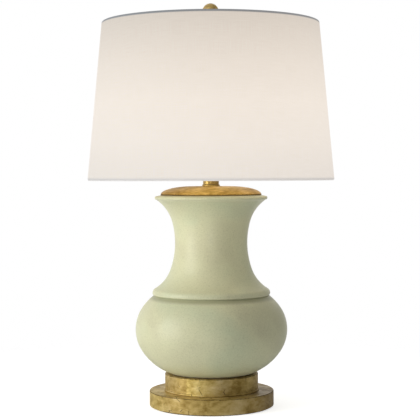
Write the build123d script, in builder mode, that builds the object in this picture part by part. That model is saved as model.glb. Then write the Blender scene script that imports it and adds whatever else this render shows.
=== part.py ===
from build123d import *
from math import atan2, cos, radians, sin, sqrt, tan
import os

# A table lamp: a glazed vase between gilded wooden turnings, under a linen shade on a harp.
# Sizes are in millimetres. The origin is the centre of the underside, +Z is up and -Y is the front.

# Clearances
slip = 0.05  # radial gap of a fit that turns or slides
seam = 0.1  # gap that glue, solder or a weld fills
wire_room = 0.3  # radial gap of a clearance hole

# Wooden base, stepped out from the vase's foot
felt_thickness = 1.5
felt_inset = 4.0
plinth_step = 27.2
plinth_height = 26.3
riser_step = 10.1
riser_height = 29.6
bead_reach = 1.5
bead_height = 3.4
wood_edge_round = 1.5
recess_diameter = 60.0
recess_room = 4.2  # between the pipe's end and the felt

# Cord inlet at the back of the plinth
cord_bore = 7.0
tunnel_room = 1.0
bushing_wall = 2.0
bushing_length = 14.0
bushing_flange_reach = 1.5
bushing_flange_thickness = 2.5
flange_seat_depth = 1.0

# Lamp pipe and the hardware that clamps it
pipe_diameter = 10.0
pipe_wall = 1.5
pipe_tail = 2.0
pipe_engagement = 9.0
washer_diameter = 38.0
washer_thickness = 2.0
lock_washer_diameter = 17.0
lock_washer_thickness = 1.8
nut_across_flats = 17.0
nut_height = 5.0

# Vase: each height is above the feature below it, radii are of the outside
gasket_thickness = 1.0
gasket_width = 12.0
vase_wall = 6.0
vase_floor = 9.0
foot_radius = 71.5
foot_hole_room = 3.0
belly_height = 76.0
belly_swell = 29.6  # beyond the ridge
belly_arc = 66.7
belly_upper_turn = 35.7
belly_lower_turn = 30.5
ridge_height = 64.5
ridge_radius = 103.3
ridge_width = 10.4
ridge_depth = 2.8
waist_height = 86.7
waist_radius = 63.5
waist_arc = 140.7
waist_upper_turn = 14.8
waist_lower_turn = 19.0
lip_height = 83.1
lip_radius = 99.0
lip_width = 7.6
lip_depth = 2.9
lip_land = 15.0  # from the lip's edge in to the mouth

# Wooden cap on the vase
cap_inset = 10.5
cap_height = 15.8
cap_edge = 1.3
cap_flat = 17.6  # level ring round the neck, inside the rounded shoulder
spigot_depth = 8.0
spigot_gap = 1.0

# Brass neck
neck_flange_reach = 1.6
neck_flange_height = 3.2
neck_diameter = 28.0
neck_length = 16.0
neck_wall = 1.0
neck_washer_thickness = 2.0

# Harp and its saddle
saddle_thickness = 1.6
saddle_width = 11.0
saddle_eye_wall = 4.0
saddle_upright = 16.0
saddle_bend = 4.0
prong_length = 10.0
sleeve_length = 20.0
sleeve_wall = 1.2
sleeve_travel = 12.0
harp_wire = 4.6
harp_foot_spread = 56.0
harp_spread = 114.0
harp_shoulder_spread = 68.0
harp_leg_spare = 3.0  # straight leg left above a raised sleeve
harp_low_rise = 48.0
harp_side = 71.9
harp_high_rise = 70.0
harp_low_round = 30.0
harp_side_round = 45.0
harp_high_round = 90.0
harp_top_round = 28.0
stud_block_length = 16.0
stud_block_width = 9.0
stud_block_cover = 1.7
stud_diameter = 6.2
stud_length = 14.0

# Bulb
bulb_cap_diameter = 26.1
bulb_cap_height = 20.0
bulb_cap_sheet = 0.5
bulb_insulator_height = 3.0
bulb_contact_diameter = 9.6
bulb_contact_height = 1.6
bulb_diameter = 60.0
bulb_globe_height = 52.0  # from the cap to the middle of the globe
bulb_neck_length = 8.0
bulb_neck_lap = 3.0
bulb_glass = 0.8
bulb_globe_turn = 38.0

# Socket, built up round the bulb's cap
socket_sheet = 0.8
socket_hub_wall = 2.5
socket_hub_height = 8.0
socket_cone_height = 8.0
socket_skirt = 8.0
socket_rim = 1.2
insulator_thickness = 0.8
screw_shell_thickness = 0.5
screw_shell_height = 22.8
screw_shell_floor = 4.3
switch_cover = 9.0  # from the key's axis up to the top of the switch block
terminal_diameter = 6.0
terminal_height = 2.4
terminal_sink = 0.8
terminal_slot = 1.0
terminal_drop = 4.0
contact_width = 6.0
contact_reach = 7.0
contact_rise = 1.6
contact_sheet = 0.6

# Turn switch key
key_rise = 3.0  # above the skirt of the socket's cap
shaft_diameter = 3.2
shaft_depth = 9.0
key_gap = 4.0
key_stem_diameter = 8.4
key_stem_length = 6.0
key_width = 18.0
key_length = 13.0
key_thickness = 5.0
key_round = 1.6

# Shade
shade_bottom_diameter = 431.8
shade_top_diameter = 381.0
shade_height = 277.0
linen_thickness = 0.6
liner_thickness = 0.8
roll_radius = 2.6
spider_drop = 13.2  # from the shade's top edge down to its seat on the harp
spider_wire = 3.2
spider_bend = 12.0
spider_bend_reach = 22.0
hub_diameter = 32.0
hub_bore = 11.0
hub_thickness = 2.0
spoke_angles = (90, 210, 330)

# Finial
finial_gap = 0.2
finial_wall = 2.35
finial_foot_reach = 2.5
finial_foot_height = 3.0
finial_bore_room = 2.2
finial_cover = 2.8
finial_ball_diameter = 28.8

# Heights of the stack, from the table up
recess_depth = washer_thickness + lock_washer_thickness + nut_height + pipe_tail + recess_room
plinth_bottom = felt_thickness
plinth_top = plinth_bottom + plinth_height
recess_top = plinth_bottom + recess_depth
riser_top = plinth_top + riser_height
vase_foot = riser_top + gasket_thickness
belly_level = vase_foot + belly_height
ridge_level = belly_level + ridge_height
waist_level = ridge_level + waist_height
vase_top = waist_level + lip_height
cap_top = vase_top + cap_height
neck_base = cap_top + neck_flange_height
neck_top = neck_base + neck_length
saddle_base = neck_top + neck_washer_thickness
socket_base = saddle_base + saddle_thickness
upright_top = saddle_base + saddle_upright
prong_top = upright_top + prong_length

# The harp's legs stay straight as far as the sleeves travel, then lean out to its sides.
foot_x = harp_foot_spread / 2
wire_radius = harp_wire / 2
leg_lean = atan2(harp_spread / 2 - foot_x, harp_low_rise)
leg_spare = harp_leg_spare + harp_low_round * tan(leg_lean / 2)
leg_top = upright_top + sleeve_length + sleeve_travel + leg_spare
side_base = leg_top + harp_low_rise
side_top = side_base + harp_side
harp_crown = side_top + harp_high_rise
shade_seat = harp_crown + wire_radius + stud_block_cover
shade_top = shade_seat + spider_drop
shade_bottom = shade_top - shade_height

pipe_radius = pipe_diameter / 2
pipe_hole_radius = pipe_radius + wire_room


def turned_ring(outer_radius, bore_radius, base, height):
    with BuildPart() as ring:
        with BuildSketch(Plane.XY.offset(base)):
            Circle(outer_radius)
            Circle(bore_radius, mode=Mode.SUBTRACT)
        extrude(amount=height)
    return ring


# Wooden base
riser_radius = foot_radius + riser_step
plinth_radius = riser_radius + plinth_step
tunnel_radius = cord_bore / 2 + tunnel_room
bushing_radius = cord_bore / 2 + bushing_wall
bushing_flange_radius = bushing_radius + bushing_flange_reach
bushing_plane = Plane(
    origin=(0, plinth_radius - flange_seat_depth, recess_top - tunnel_radius - tunnel_room / 2),
    x_dir=(1, 0, 0),
    z_dir=(0, 1, 0),
)

with BuildPart() as felt_pad:
    with BuildSketch():
        Circle(plinth_radius - felt_inset)
    extrude(amount=felt_thickness)

with BuildPart() as plinth:
    with BuildSketch(Plane.XY.offset(plinth_bottom)):
        Circle(plinth_radius)
    extrude(amount=plinth_height)
    fillet(plinth.edges().filter_by(GeomType.CIRCLE), wood_edge_round)
    with BuildSketch(Plane.XY.offset(plinth_bottom)):
        Circle(recess_diameter / 2)
    extrude(amount=recess_depth, mode=Mode.SUBTRACT)
    with BuildSketch(Plane.XY.offset(recess_top)):
        Circle(pipe_hole_radius)
    extrude(amount=plinth_top - recess_top, mode=Mode.SUBTRACT)
    # The cord's tunnel runs from the recess to the bushing, and widens for its sleeve and flange.
    with BuildSketch(bushing_plane):
        Circle(tunnel_radius)
    extrude(amount=-(plinth_radius - flange_seat_depth), mode=Mode.SUBTRACT)
    with BuildSketch(bushing_plane):
        Circle(bushing_radius + slip)
    extrude(amount=-bushing_length, mode=Mode.SUBTRACT)
    with BuildSketch(bushing_plane):
        Circle(bushing_flange_radius + wire_room)
    extrude(amount=2 * flange_seat_depth, mode=Mode.SUBTRACT)

with BuildPart() as cord_bushing:
    with BuildSketch(bushing_plane):
        Circle(bushing_radius)
    extrude(amount=-bushing_length)
    with BuildSketch(bushing_plane):
        Circle(bushing_flange_radius)
    extrude(amount=bushing_flange_thickness)
    fillet(cord_bushing.edges().sort_by(Axis.Y)[-1], bushing_flange_thickness / 3)
    with BuildSketch(bushing_plane.offset(bushing_flange_thickness)):
        Circle(cord_bore / 2)
    extrude(amount=-(bushing_length + bushing_flange_thickness), mode=Mode.SUBTRACT)

with BuildPart() as riser:
    with BuildSketch(Plane.XZ):
        with BuildLine():
            ThreePointArc(
                (riser_radius, plinth_top),
                (riser_radius + bead_reach, plinth_top + bead_height / 2),
                (riser_radius, plinth_top + bead_height),
            )
            Polyline(
                (riser_radius, plinth_top + bead_height),
                (riser_radius, riser_top),
                (pipe_hole_radius, riser_top),
                (pipe_hole_radius, plinth_top),
                (riser_radius, plinth_top),
            )
        make_face()
    revolve(axis=Axis.Z)
    top_rim = riser.edges().group_by(Axis.Z)[-1].sort_by(SortBy.RADIUS)[-1]
    fillet(top_rim, wood_edge_round)

# Lamp pipe and the hardware that clamps it
washer_base = recess_top - washer_thickness
lock_washer_base = washer_base - lock_washer_thickness
nut_base = lock_washer_base - nut_height
lamp_pipe = turned_ring(
    pipe_radius,
    pipe_radius - pipe_wall,
    nut_base - pipe_tail,
    socket_base + pipe_engagement - nut_base + pipe_tail,
)
bottom_washer = turned_ring(washer_diameter / 2, pipe_hole_radius, washer_base, washer_thickness)

with BuildPart() as lock_washer:
    with BuildSketch(Plane.XY.offset(lock_washer_base)):
        Circle(lock_washer_diameter / 2)
        Circle(pipe_hole_radius, mode=Mode.SUBTRACT)
        with Locations((0, lock_washer_diameter / 2)):
            Rectangle(lock_washer_thickness, lock_washer_diameter - pipe_diameter, mode=Mode.SUBTRACT)
    extrude(amount=lock_washer_thickness)

with BuildPart() as bottom_nut:
    with BuildSketch(Plane.XY.offset(nut_base)):
        RegularPolygon(nut_across_flats / 2, 6, major_radius=False)
        Circle(pipe_radius + slip, mode=Mode.SUBTRACT)
    extrude(amount=nut_height)

# Vase
vase_gasket = turned_ring(foot_radius, foot_radius - gasket_width, riser_top, gasket_thickness)

belly_centre = (ridge_radius + belly_swell - belly_arc, belly_level)
waist_centre = (waist_radius + waist_arc, waist_level)
mouth_radius = lip_radius - lip_land
foot_hole_radius = pipe_radius + foot_hole_room
ridge_crown = (ridge_radius, ridge_level)
ridge_over = (ridge_radius - ridge_depth, ridge_level + ridge_width / 2)
ridge_under = (ridge_radius - ridge_depth, ridge_level - ridge_width / 2)
ridge_inside = (ridge_radius - ridge_depth - 2 * vase_wall, ridge_level - ridge_width / 2)
lip_crown = (lip_radius, vase_top - lip_width / 2)
lip_under = (lip_radius - lip_depth, vase_top - lip_width)
lip_over = (lip_radius - lip_depth, vase_top)
mouth_end = (mouth_radius, vase_top - lip_width - vase_wall / 2)
floor_level = vase_foot + vase_floor


def vase_belly(inset, top_end, foot_end):
    equator = CenterArc(
        belly_centre, belly_arc - inset, -belly_lower_turn, belly_lower_turn + belly_upper_turn
    )
    TangentArc(equator @ 0, foot_end, tangent=-(equator % 0))
    TangentArc(equator @ 1, top_end, tangent=equator % 1)


def vase_neck(inset, top_end, foot_end):
    waist = CenterArc(
        waist_centre, waist_arc + inset, 180 - waist_upper_turn, waist_upper_turn + waist_lower_turn
    )
    TangentArc(waist @ 0, top_end, tangent=-(waist % 0))
    TangentArc(waist @ 1, foot_end, tangent=waist % 1)


with BuildPart() as vase:
    with BuildSketch(Plane.XZ):
        with BuildLine():
            vase_belly(0, ridge_under, (foot_radius, vase_foot))
            ThreePointArc(ridge_under, ridge_crown, ridge_over)
            vase_neck(0, lip_under, ridge_over)
            ThreePointArc(lip_under, lip_crown, lip_over)
            Polyline(lip_over, (mouth_radius, vase_top), mouth_end)
            vase_neck(vase_wall, mouth_end, ridge_inside)
            vase_belly(vase_wall, ridge_inside, (foot_radius, floor_level))
            Polyline(
                (foot_radius, floor_level),
                (foot_hole_radius, floor_level),
                (foot_hole_radius, vase_foot),
                (foot_radius, vase_foot),
            )
        make_face()
    revolve(axis=Axis.Z)

# Wooden cap on the vase
neck_radius = neck_diameter / 2
neck_flange_radius = neck_radius + neck_flange_reach
cap_radius = lip_radius - cap_inset
cap_seat_radius = neck_flange_radius + wire_room
cap_shoulder_radius = cap_seat_radius + cap_flat
spigot_radius = mouth_radius - spigot_gap
spigot_end = vase_top - spigot_depth

with BuildPart() as vase_cap:
    with BuildSketch(Plane.XZ):
        with BuildLine():
            EllipticalCenterArc(
                (cap_shoulder_radius, vase_top + cap_edge),
                cap_radius - cap_shoulder_radius,
                cap_height - cap_edge,
                arc_size=90,
            )
            Polyline(
                (cap_radius, vase_top + cap_edge),
                (cap_radius, vase_top),
                (spigot_radius, vase_top),
                (spigot_radius, spigot_end),
                (pipe_hole_radius, spigot_end),
                (pipe_hole_radius, cap_top),
                (cap_shoulder_radius, cap_top),
            )
        make_face()
    revolve(axis=Axis.Z)

# Brass neck
neck_washer = turned_ring(neck_radius, pipe_hole_radius, neck_top, neck_washer_thickness)
neck_tube = turned_ring(neck_radius, neck_radius - neck_wall, neck_base, neck_length)

with BuildPart() as neck_flange:
    with BuildSketch(Plane.XY.offset(cap_top)):
        Circle(neck_flange_radius)
        Circle(pipe_hole_radius, mode=Mode.SUBTRACT)
    extrude(amount=neck_flange_height)
    flange_rim = neck_flange.edges().group_by(Axis.Z)[-1].sort_by(SortBy.RADIUS)[-1]
    fillet(flange_rim, min(neck_flange_reach, neck_flange_height / 2))

# Harp saddle, with a round prong on each upright
with BuildPart() as harp_saddle:
    with BuildSketch(Plane.XZ.offset(-saddle_width / 2)):
        with BuildLine():
            FilletPolyline(
                (-foot_x, upright_top),
                (-foot_x, saddle_base + saddle_thickness / 2),
                (foot_x, saddle_base + saddle_thickness / 2),
                (foot_x, upright_top),
                radius=saddle_bend,
            )
        trace(line_width=saddle_thickness)
    extrude(amount=saddle_width)
    with BuildSketch(Plane.XY.offset(upright_top)):
        with Locations((-foot_x, 0), (foot_x, 0)):
            Circle(wire_radius)
    extrude(amount=prong_length)
    with BuildSketch(Plane.XY.offset(saddle_base)):
        Circle(pipe_hole_radius + saddle_eye_wall)
    extrude(amount=saddle_thickness)
    with BuildSketch(Plane.XY.offset(saddle_base)):
        Circle(pipe_hole_radius)
    extrude(amount=saddle_thickness, mode=Mode.SUBTRACT)


def harp_sleeve(x):
    with BuildPart() as sleeve:
        with BuildSketch(Plane.XY.offset(upright_top)):
            with Locations((x, 0)):
                Circle(wire_radius + slip + sleeve_wall)
                Circle(wire_radius + slip, mode=Mode.SUBTRACT)
        extrude(amount=sleeve_length)
        fillet(sleeve.edges().group_by(Axis.Z)[-1].sort_by(SortBy.RADIUS)[-1], sleeve_wall / 2)
    return sleeve


harp_sleeve_left = harp_sleeve(-foot_x)
harp_sleeve_right = harp_sleeve(foot_x)

# Harp: a bow of wire from prong to prong
harp_half = [
    (foot_x, prong_top),
    (foot_x, leg_top),
    (harp_spread / 2, side_base),
    (harp_spread / 2, side_top),
    (harp_shoulder_spread / 2, harp_crown),
]
half_rounds = [harp_low_round, harp_side_round, harp_high_round, harp_top_round]

with BuildPart() as harp:
    with BuildLine(Plane.XZ) as bow:
        FilletPolyline(
            *harp_half,
            *[(-x, z) for x, z in reversed(harp_half)],
            radius=half_rounds + half_rounds[::-1],
        )
    with BuildSketch(Plane(origin=bow.line @ 0, z_dir=bow.line % 0)):
        Circle(wire_radius)
    sweep(path=bow.line)

with BuildPart() as harp_stud:
    with BuildSketch(Plane.XY.offset(shade_seat)):
        Rectangle(stud_block_length, stud_block_width)
    extrude(amount=-(harp_wire + 2 * stud_block_cover))
    fillet(harp_stud.edges().filter_by(Axis.Z), stud_block_cover)
    with BuildSketch(Plane.YZ.offset(-stud_block_length / 2)):
        with Locations((0, harp_crown)):
            Circle(wire_radius + slip)
    extrude(amount=stud_block_length, mode=Mode.SUBTRACT)
    with BuildSketch(Plane.XY.offset(shade_seat)):
        Circle(stud_diameter / 2)
    extrude(amount=stud_length)

# Socket: brass cap and shell, fibre liner, switch block and the shell that takes the bulb
bulb_cap_radius = bulb_cap_diameter / 2
screw_bore = bulb_cap_radius + wire_room
screw_shell_radius = screw_bore + screw_shell_thickness
liner_bore = screw_shell_radius + wire_room
liner_radius = liner_bore + insulator_thickness
switch_radius = liner_bore - wire_room
shell_radius = liner_radius + slip + socket_sheet
socket_radius = shell_radius + slip + socket_sheet
socket_hub_radius = pipe_radius + socket_hub_wall
hub_top = socket_base + socket_hub_height
cone_top = hub_top + socket_cone_height
skirt_top = cone_top + socket_skirt
shell_bottom = cone_top + socket_sheet + wire_room
key_level = skirt_top + key_rise
switch_level = key_level + switch_cover
screw_shell_top = switch_level + screw_shell_height
socket_top = screw_shell_top + socket_rim
key_plane = Plane(origin=(0, 0, key_level), x_dir=(1, 0, 0), z_dir=(0, -1, 0))
key_slot_radius = shaft_diameter / 2 + wire_room

with BuildPart() as socket_cap:
    with BuildSketch(Plane.XZ):
        with BuildLine():
            Polyline(
                (pipe_radius + slip, socket_base),
                (socket_hub_radius, socket_base),
                (socket_hub_radius, hub_top),
                (socket_radius, cone_top),
                (socket_radius, skirt_top),
                (socket_radius - socket_sheet, skirt_top),
                (socket_radius - socket_sheet, cone_top + socket_sheet),
                (pipe_radius + slip, hub_top + socket_sheet),
                close=True,
            )
        make_face()
    revolve(axis=Axis.Z)

with BuildPart() as socket_shell:
    with BuildSketch(Plane.XY.offset(shell_bottom)):
        Circle(shell_radius)
        Circle(shell_radius - socket_sheet, mode=Mode.SUBTRACT)
    extrude(amount=socket_top - shell_bottom)
    with BuildSketch(Plane.XY.offset(socket_top)):
        Circle(shell_radius + socket_rim)
        Circle(shell_radius - socket_sheet, mode=Mode.SUBTRACT)
    extrude(amount=-socket_rim)
    with BuildSketch(key_plane):
        Circle(key_slot_radius)
    extrude(amount=socket_radius, mode=Mode.SUBTRACT)

with BuildPart() as socket_insulator:
    with BuildSketch(Plane.XY.offset(shell_bottom)):
        Circle(liner_radius)
        Circle(liner_bore, mode=Mode.SUBTRACT)
    extrude(amount=screw_shell_top - shell_bottom)
    with BuildSketch(key_plane):
        Circle(key_slot_radius)
    extrude(amount=socket_radius, mode=Mode.SUBTRACT)

switch_flat_depth = terminal_height + terminal_sink
terminal_x = switch_radius - switch_flat_depth
terminal_level = switch_level - terminal_drop - terminal_diameter / 2

with BuildPart() as switch_body:
    with BuildSketch(Plane.XY.offset(shell_bottom)):
        Circle(switch_radius)
    extrude(amount=switch_level - shell_bottom)
    # A flat on each side seats a terminal screw.
    with BuildSketch(Plane.XY.offset(switch_level)):
        with Locations((-switch_radius, 0), (switch_radius, 0)):
            Rectangle(2 * switch_flat_depth, 2 * switch_radius)
    extrude(amount=-(terminal_drop + terminal_diameter + terminal_drop), mode=Mode.SUBTRACT)
    with BuildSketch(key_plane.offset(switch_radius)):
        Circle(shaft_diameter / 2 + slip)
    extrude(amount=-shaft_depth, mode=Mode.SUBTRACT)

with BuildPart() as terminal_screws:
    for side in (-1, 1):
        screw_plane = Plane(origin=(side * terminal_x, 0, terminal_level), z_dir=(side, 0, 0))
        with BuildSketch(screw_plane):
            Circle(terminal_diameter / 2)
        extrude(amount=terminal_height)
        with BuildSketch(screw_plane.offset(terminal_height)):
            Rectangle(terminal_slot, terminal_diameter)
        extrude(amount=-terminal_height / 2, mode=Mode.SUBTRACT)

with BuildPart() as screw_shell:
    with BuildSketch(Plane.XY.offset(switch_level)):
        Circle(screw_shell_radius)
        Circle(screw_shell_radius - screw_shell_floor, mode=Mode.SUBTRACT)
    extrude(amount=screw_shell_thickness)
    with BuildSketch(Plane.XY.offset(switch_level)):
        Circle(screw_shell_radius)
        Circle(screw_bore, mode=Mode.SUBTRACT)
    extrude(amount=screw_shell_height)

# A brass leaf, flat on the switch block and sprung up in the middle under the bulb
with BuildPart() as centre_contact:
    with BuildSketch(Plane.XZ.offset(-contact_width / 2)):
        with BuildLine():
            Polyline(
                (-contact_reach, switch_level),
                (-contact_reach / 2, switch_level),
                (contact_reach / 2, switch_level + contact_rise),
                (contact_reach / 2, switch_level + contact_rise + contact_sheet),
                (-contact_reach / 2, switch_level + contact_sheet),
                (-contact_reach, switch_level + contact_sheet),
                close=True,
            )
        make_face()
    extrude(amount=contact_width)

# Turn switch: a shaft from the switch block, with a flat key to turn by hand
key_base = socket_radius + key_gap
shaft_length = shaft_depth + key_base - switch_radius + key_stem_length

with BuildPart() as switch_shaft:
    with BuildSketch(key_plane.offset(switch_radius - shaft_depth)):
        Circle(shaft_diameter / 2)
    extrude(amount=shaft_length)

with BuildPart() as switch_key:
    with BuildSketch(key_plane.offset(key_base)):
        Circle(key_stem_diameter / 2)
    extrude(amount=key_stem_length)
    with BuildSketch(key_plane.offset(key_base + key_stem_length)):
        RectangleRounded(key_width, key_thickness, key_thickness / 2 - seam)
    extrude(amount=key_length)
    fillet(switch_key.faces().sort_by(Axis.Y)[0].edges(), key_round)
    with BuildSketch(key_plane.offset(key_base)):
        Circle(shaft_diameter / 2 + slip)
    extrude(amount=key_stem_length, mode=Mode.SUBTRACT)

# Bulb, from the contact up
contact_base = switch_level + contact_rise + contact_sheet + seam
insulator_base = contact_base + bulb_contact_height
bulb_cap_base = insulator_base + bulb_insulator_height
bulb_cap_top = bulb_cap_base + bulb_cap_height
bulb_contact_radius = bulb_contact_diameter / 2
bulb_neck_radius = bulb_cap_radius - bulb_cap_sheet - slip
bulb_neck_base = bulb_cap_top - bulb_neck_lap
globe_centre = (0, bulb_cap_top + bulb_globe_height)

with BuildPart() as bulb_contact:
    with BuildSketch(Plane.XY.offset(contact_base)):
        Circle(bulb_contact_radius)
    extrude(amount=bulb_contact_height)
    fillet(bulb_contact.edges().sort_by(Axis.Z)[0], bulb_contact_height / 2)

with BuildPart() as bulb_insulator:
    with BuildSketch(Plane.XZ):
        with BuildLine():
            Polyline(
                (0, insulator_base),
                (bulb_contact_radius, insulator_base),
                (bulb_cap_radius - bulb_cap_sheet, bulb_cap_base),
                (0, bulb_cap_base),
                close=True,
            )
        make_face()
    revolve(axis=Axis.Z)

with BuildPart() as bulb_cap:
    with BuildSketch(Plane.XY.offset(bulb_cap_base)):
        Circle(bulb_cap_radius)
    extrude(amount=bulb_cap_sheet)
    with BuildSketch(Plane.XY.offset(bulb_cap_base)):
        Circle(bulb_cap_radius)
        Circle(bulb_cap_radius - bulb_cap_sheet, mode=Mode.SUBTRACT)
    extrude(amount=bulb_cap_height)


def globe_outline(inset):
    globe = CenterArc(
        globe_centre, bulb_diameter / 2 - inset, -bulb_globe_turn, bulb_globe_turn + 90
    )
    neck_end = (bulb_neck_radius - inset, bulb_cap_top + bulb_neck_length)
    TangentArc(globe @ 0, neck_end, tangent=-(globe % 0))
    Line(neck_end, (bulb_neck_radius - inset, bulb_neck_base))
    return globe


with BuildPart() as bulb_globe:
    with BuildSketch(Plane.XZ):
        with BuildLine():
            outside = globe_outline(0)
            inside = globe_outline(bulb_glass)
            Line(outside @ 1, inside @ 1)
            Line((bulb_neck_radius, bulb_neck_base), (bulb_neck_radius - bulb_glass, bulb_neck_base))
        make_face()
    revolve(axis=Axis.Z)

# Shade, drawn on a plane that lies along its wall: local x runs up the wall, local y points inwards
shade_bottom_radius = shade_bottom_diameter / 2
shade_top_radius = shade_top_diameter / 2
shade_slant = sqrt(shade_height**2 + (shade_bottom_radius - shade_top_radius) ** 2)
shade_plane = Plane(
    origin=(shade_bottom_radius, 0, shade_bottom),
    x_dir=(shade_top_radius - shade_bottom_radius, 0, shade_height),
    z_dir=(0, -1, 0),
)
roll_places = [(roll_radius, roll_radius), (shade_slant - roll_radius, roll_radius)]
ring_wire_radius = roll_radius - linen_thickness - seam
top_ring_centre = shade_plane.from_local_coords(Vector(*roll_places[1]))
spoke_radius = spider_wire / 2
hub_radius = hub_diameter / 2
hub_middle = shade_seat + hub_thickness / 2


def spoke_plane(angle, reach, height):
    outwards = (cos(radians(angle)), sin(radians(angle)), 0)
    return Plane(origin=(reach * outwards[0], reach * outwards[1], height), z_dir=outwards)


with BuildPart() as shade_linen:
    with BuildSketch(shade_plane):
        with Locations(*roll_places):
            Circle(roll_radius)
            Circle(roll_radius - linen_thickness, mode=Mode.SUBTRACT)
        # The roll starts where the wall ends, so the quarter between them stays open.
        with Locations((shade_slant / 2, 0)):
            wall_end = (Align.CENTER, Align.MIN)
            Rectangle(shade_slant - 2 * roll_radius, roll_radius, align=wall_end, mode=Mode.SUBTRACT)
            Rectangle(shade_slant - 2 * roll_radius, linen_thickness, align=wall_end)
    revolve(axis=Axis.Z)
    # A notch in the top roll lets each spoke through to the ring.
    notch_reach = top_ring_centre.X - 2 * roll_radius
    with BuildSketch(*[spoke_plane(angle, notch_reach, top_ring_centre.Z) for angle in spoke_angles]):
        Circle(spoke_radius + wire_room)
    extrude(amount=2 * roll_radius, mode=Mode.SUBTRACT)

with BuildPart() as shade_liner:
    with BuildSketch(shade_plane):
        with Locations((shade_slant / 2, linen_thickness + seam)):
            Rectangle(shade_slant - 4 * roll_radius, liner_thickness, align=(Align.CENTER, Align.MIN))
    revolve(axis=Axis.Z)


def shade_ring(place):
    with BuildPart() as ring:
        with BuildSketch(shade_plane):
            with Locations(place):
                Circle(ring_wire_radius)
        revolve(axis=Axis.Z)
    return ring


shade_bottom_ring = shade_ring(roll_places[0])
shade_top_ring = shade_ring(roll_places[1])
spider_hub = turned_ring(hub_radius, hub_bore / 2, shade_seat, hub_thickness)


def spider_spoke(angle):
    ring_end = top_ring_centre.X - ring_wire_radius - seam
    hub_end = hub_radius + seam
    with BuildPart() as spoke:
        with BuildLine(Plane.XZ.rotated((0, 0, angle))) as run:
            FilletPolyline(
                (ring_end, top_ring_centre.Z),
                (hub_end + 2 * spider_bend_reach, top_ring_centre.Z),
                (hub_end + spider_bend_reach, hub_middle),
                (hub_end, hub_middle),
                radius=spider_bend,
            )
        with BuildSketch(Plane(origin=run.line @ 0, z_dir=run.line % 0)):
            Circle(spoke_radius)
        sweep(path=run.line)
    return spoke


# Finial: a tapped stem that clamps the hub, with a ball on top
finial_base = shade_seat + hub_thickness + finial_gap
finial_bore_radius = stud_diameter / 2 + slip
finial_bore_top = shade_seat + stud_length + finial_bore_room
stem_radius = finial_bore_radius + finial_wall
stem_top = finial_bore_top + finial_cover
ball_radius = finial_ball_diameter / 2
ball_centre = stem_top + sqrt(ball_radius**2 - stem_radius**2)

with BuildPart() as finial_neck:
    with BuildSketch(Plane.XY.offset(finial_base)):
        Circle(stem_radius + finial_foot_reach)
    extrude(amount=finial_foot_height)
    fillet(finial_neck.edges().sort_by(Axis.Z)[-1], finial_foot_height / 2)
    with BuildSketch(Plane.XY.offset(finial_base)):
        Circle(stem_radius)
    extrude(amount=stem_top - finial_base)
    with BuildSketch(Plane.XY.offset(finial_base)):
        Circle(finial_bore_radius)
    extrude(amount=finial_bore_top - finial_base, mode=Mode.SUBTRACT)

with BuildPart() as finial_ball:
    with Locations((0, 0, ball_centre)):
        Sphere(ball_radius)
    split(bisect_by=Plane.XY.offset(stem_top), keep=Keep.TOP)

pieces = {
    "felt_pad": felt_pad,
    "plinth": plinth,
    "cord_bushing": cord_bushing,
    "riser": riser,
    "lamp_pipe": lamp_pipe,
    "bottom_washer": bottom_washer,
    "lock_washer": lock_washer,
    "bottom_nut": bottom_nut,
    "vase_gasket": vase_gasket,
    "vase": vase,
    "vase_cap": vase_cap,
    "neck_flange": neck_flange,
    "neck_tube": neck_tube,
    "neck_washer": neck_washer,
    "harp_saddle": harp_saddle,
    "harp_sleeve_left": harp_sleeve_left,
    "harp_sleeve_right": harp_sleeve_right,
    "harp": harp,
    "harp_stud": harp_stud,
    "socket_cap": socket_cap,
    "socket_shell": socket_shell,
    "socket_insulator": socket_insulator,
    "switch_body": switch_body,
    "terminal_screws": terminal_screws,
    "screw_shell": screw_shell,
    "centre_contact": centre_contact,
    "switch_shaft": switch_shaft,
    "switch_key": switch_key,
    "bulb_contact": bulb_contact,
    "bulb_insulator": bulb_insulator,
    "bulb_cap": bulb_cap,
    "bulb_globe": bulb_globe,
    "shade_linen": shade_linen,
    "shade_liner": shade_liner,
    "shade_bottom_ring": shade_bottom_ring,
    "shade_top_ring": shade_top_ring,
    "spider_hub": spider_hub,
    "finial_neck": finial_neck,
    "finial_ball": finial_ball,
}
for number, angle in enumerate(spoke_angles, start=1):
    pieces[f"spider_spoke_{number}"] = spider_spoke(angle)

os.makedirs("parts", exist_ok=True)
for name, piece in pieces.items():
    piece.part.label = name
    export_step(piece.part, f"parts/{name}.step")
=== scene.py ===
import bpy
import bmesh
import math
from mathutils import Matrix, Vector


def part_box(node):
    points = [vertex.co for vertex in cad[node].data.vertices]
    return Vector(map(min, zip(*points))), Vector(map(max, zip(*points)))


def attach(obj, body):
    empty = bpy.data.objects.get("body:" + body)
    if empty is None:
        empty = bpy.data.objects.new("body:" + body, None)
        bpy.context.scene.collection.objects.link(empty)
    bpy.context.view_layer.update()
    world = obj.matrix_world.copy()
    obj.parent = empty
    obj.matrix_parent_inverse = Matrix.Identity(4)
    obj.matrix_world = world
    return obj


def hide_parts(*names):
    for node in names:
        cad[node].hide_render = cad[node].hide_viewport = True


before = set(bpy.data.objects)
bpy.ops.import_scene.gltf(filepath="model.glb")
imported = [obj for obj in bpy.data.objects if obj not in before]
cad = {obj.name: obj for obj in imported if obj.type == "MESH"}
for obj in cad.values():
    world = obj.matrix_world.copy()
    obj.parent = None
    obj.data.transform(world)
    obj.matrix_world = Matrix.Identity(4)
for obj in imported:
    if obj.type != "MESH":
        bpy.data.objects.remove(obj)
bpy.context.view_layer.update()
scene = bpy.context.scene
mm = 0.001
fullTurn = 2 * math.pi
white = (1.0, 1.0, 1.0)
print("frame loaded:", len(cad), "pieces")


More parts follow.
